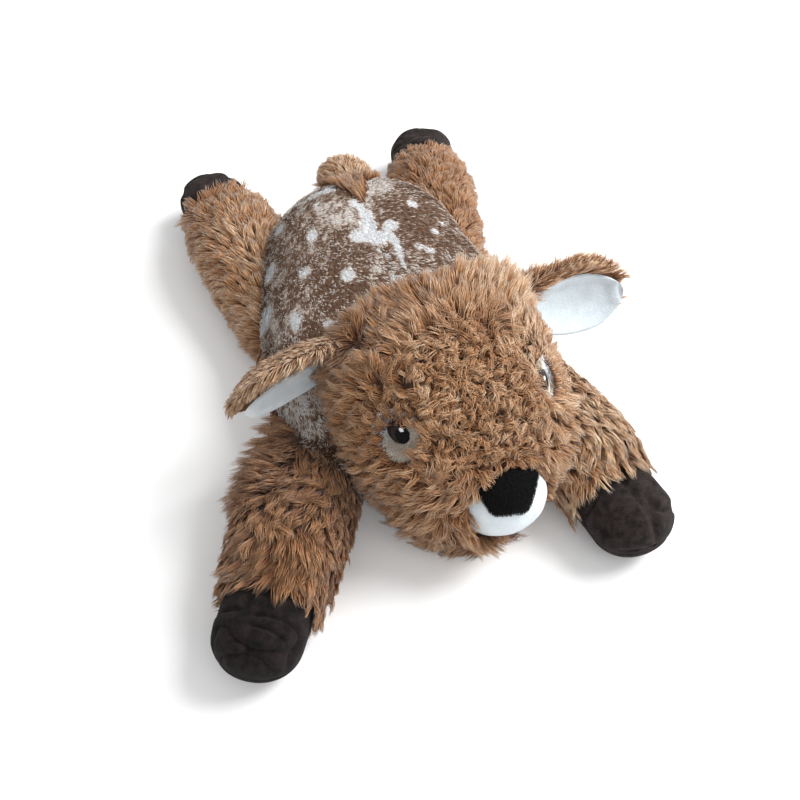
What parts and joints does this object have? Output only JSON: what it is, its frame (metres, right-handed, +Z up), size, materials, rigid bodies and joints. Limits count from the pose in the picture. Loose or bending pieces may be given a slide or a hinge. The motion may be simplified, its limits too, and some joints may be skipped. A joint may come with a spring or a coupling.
{
  "type": "plush deer",
  "caption": "Stuffed fawn lying on its belly with legs stretched out, long fur, a short-pile spotted back, soft hooves and a head, ears, legs and tail that move.",
  "frame": {"origin": "middle of the flat resting face under the belly", "axes": "+Z up; +Y towards the tail, so the face looks along -Y; +X towards the fawn's own left"},
  "size_m": [0.2764, 0.3968, 0.1089],
  "materials": {
    "long_fur": "long shaggy polyester pile",
    "spotted_pile": "printed short pile with pale spots",
    "white_plush": "short plush",
    "nose_plush": "very short plush",
    "eye_patch": "short plush",
    "eye_thread": "satin embroidery",
    "hoof_plush": "short plush",
    "filling": "loose polyester fibre"
  },
  "bodies": {
    "body": {"back_panel": "spotted_pile", "belly_panel": "long_fur", "body_filling": "filling"},
    "head": {"head_cover": "long_fur", "head_filling": "filling", "muzzle": "white_plush", "nose": "nose_plush", "eye_patch_right": "eye_patch", "eye_right": "eye_thread", "eye_patch_left": "eye_patch", "eye_left": "eye_thread"},
    "ear_right": {"ear_back_right": "long_fur", "ear_lining_right": "white_plush"},
    "ear_left": {"ear_back_left": "long_fur", "ear_lining_left": "white_plush"},
    "leg_front_right": {"leg_cover_front_right": "long_fur", "hoof_front_right": "hoof_plush", "leg_filling_front_right": "filling"},
    "leg_front_left": {"leg_cover_front_left": "long_fur", "hoof_front_left": "hoof_plush", "leg_filling_front_left": "filling"},
    "leg_hind_right": {"leg_cover_hind_right": "long_fur", "hoof_hind_right": "hoof_plush", "leg_filling_hind_right": "filling"},
    "leg_hind_left": {"leg_cover_hind_left": "long_fur", "hoof_hind_left": "hoof_plush", "leg_filling_hind_left": "filling"},
    "tail": {"tail": "long_fur"}
  },
  "joints": [
    {"name": "head_nod", "type": "hinge", "parent": "body", "child": "head", "pos_m": [-0.0006, -0.06624, 0.062], "axis": [-0.9945, -0.1045, 0], "range_deg": [0, 25]},
    {"name": "ear_right_flop", "type": "hinge", "parent": "head", "child": "ear_right", "pos_m": [-0.04713, -0.07314, 0.084], "axis": [-0.1392, 0.9903, 0], "range_deg": [-3, 40], "stiffness_Nm_per_rad": 0.03},
    {"name": "ear_left_flop", "type": "hinge", "parent": "head", "child": "ear_left", "pos_m": [0.05394, -0.06855, 0.075], "axis": [0.1564, -0.9877, 0], "range_deg": [-8, 40], "stiffness_Nm_per_rad": 0.03},
    {"name": "leg_front_right_swing", "type": "hinge", "parent": "body", "child": "leg_front_right", "pos_m": [-0.07, -0.093, 0.0212], "axis": [0, 0, 1], "range_deg": [-20, 20]},
    {"name": "leg_front_left_swing", "type": "hinge", "parent": "body", "child": "leg_front_left", "pos_m": [0.063, -0.077, 0.0212], "axis": [0, 0, 1], "range_deg": [0, 40]},
    {"name": "leg_hind_right_swing", "type": "hinge", "parent": "body", "child": "leg_hind_right", "pos_m": [-0.066, 0.015, 0.0212], "axis": [0, 0, 1], "range_deg": [-4, 40]},
    {"name": "leg_hind_left_swing", "type": "hinge", "parent": "body", "child": "leg_hind_left", "pos_m": [0.048, 0.02, 0.0212], "axis": [0, 0, 1], "range_deg": [-40, 4]},
    {"name": "tail_wag", "type": "hinge", "parent": "body", "child": "tail", "pos_m": [0.004, 0.103, 0.048], "axis": [1, 0, 0], "range_deg": [-15, 35], "stiffness_Nm_per_rad": 0.02}
  ]
}
